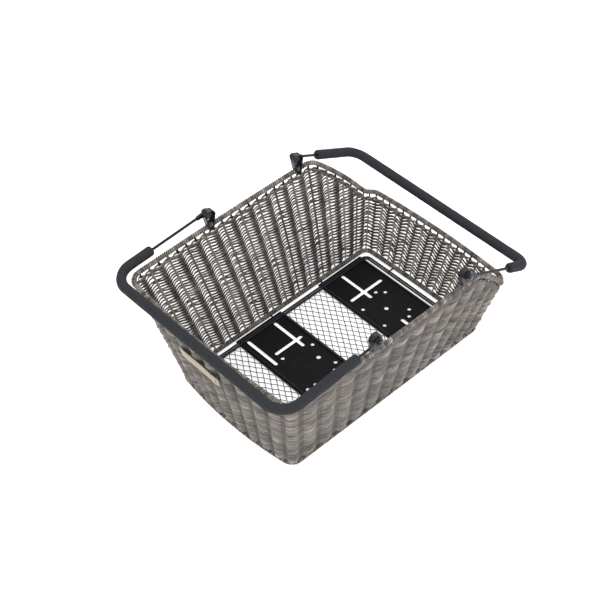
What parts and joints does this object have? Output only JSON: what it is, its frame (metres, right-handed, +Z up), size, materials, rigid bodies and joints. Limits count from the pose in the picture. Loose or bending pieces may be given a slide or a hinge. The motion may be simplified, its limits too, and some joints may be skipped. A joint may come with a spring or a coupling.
{
  "type": "bicycle rear rack basket",
  "caption": "Open woven wicker rear-rack basket with flared walls, a rim that dips at one end, slotted floor plates and folding padded handles.",
  "frame": {"origin": "midway between the two rack-bolt holes of the floor plates, at the height of the base ring's underside", "axes": "+X towards the low end of the basket, which is called the rear here, +Y towards the left side, +Z up out of the basket's mouth"},
  "size_m": [0.5822, 0.4426, 0.231],
  "materials": {
    "rattan": "matte, striated grey-brown synthetic rattan",
    "rattan_dark": "matte dark synthetic rattan",
    "core_wire": "plain steel wire",
    "black_wire": "black powder coat, satin",
    "black_steel": "black powder coat, fine texture",
    "mesh_wire": "zinc grey wire",
    "bracket_plastic": "black, satin",
    "fastener": "dark zinc",
    "foam_grip": "closed-cell foam, matte",
    "strip": "cream plastic strip, blank"
  },
  "bodies": {
    "basket": {"base_ring_wire": "core_wire", "base_ring_wrap": "rattan", "rim_wire": "core_wire", "rim_wrap": "rattan", "stakes": "rattan_dark", "twined_band": "rattan", "floor_frame_outer": "black_wire", "floor_frame_inner": "black_wire", "floor_cross_wires": "black_wire", "frame_ties": "black_wire", "floor_mesh_front": "mesh_wire", "floor_mesh_middle": "mesh_wire", "rack_plate_front": "black_steel", "rack_plate_rear": "black_steel", "pivot_screws": "fastener", "pivot_washers": "fastener", "pivot_nuts": "fastener", "name_strip": "strip", "strip_rivets": "fastener", "woven_wall_rear": "rattan", "woven_wall_left": "rattan", "woven_wall_front": "rattan", "woven_wall_right": "rattan", "hinge_bracket_front_left": "bracket_plastic", "hinge_bracket_front_right": "bracket_plastic", "hinge_bracket_rear_left": "bracket_plastic", "hinge_bracket_rear_right": "bracket_plastic"},
    "handle_front": {"handle_front_wire": "black_wire", "handle_front_grip": "foam_grip"},
    "handle_rear": {"handle_rear_wire": "black_wire", "handle_rear_grip": "foam_grip"}
  },
  "joints": [
    {"name": "handle_front_fold", "type": "hinge", "parent": "basket", "child": "handle_front", "pos_m": [-0.121, 0.023, 0.22], "axis": [0, 1, 0], "range_deg": [0, 115]},
    {"name": "handle_rear_fold", "type": "hinge", "parent": "basket", "child": "handle_rear", "pos_m": [0.085, 0.023, 0.22], "axis": [0, -1, 0], "range_deg": [0, 140]}
  ]
}
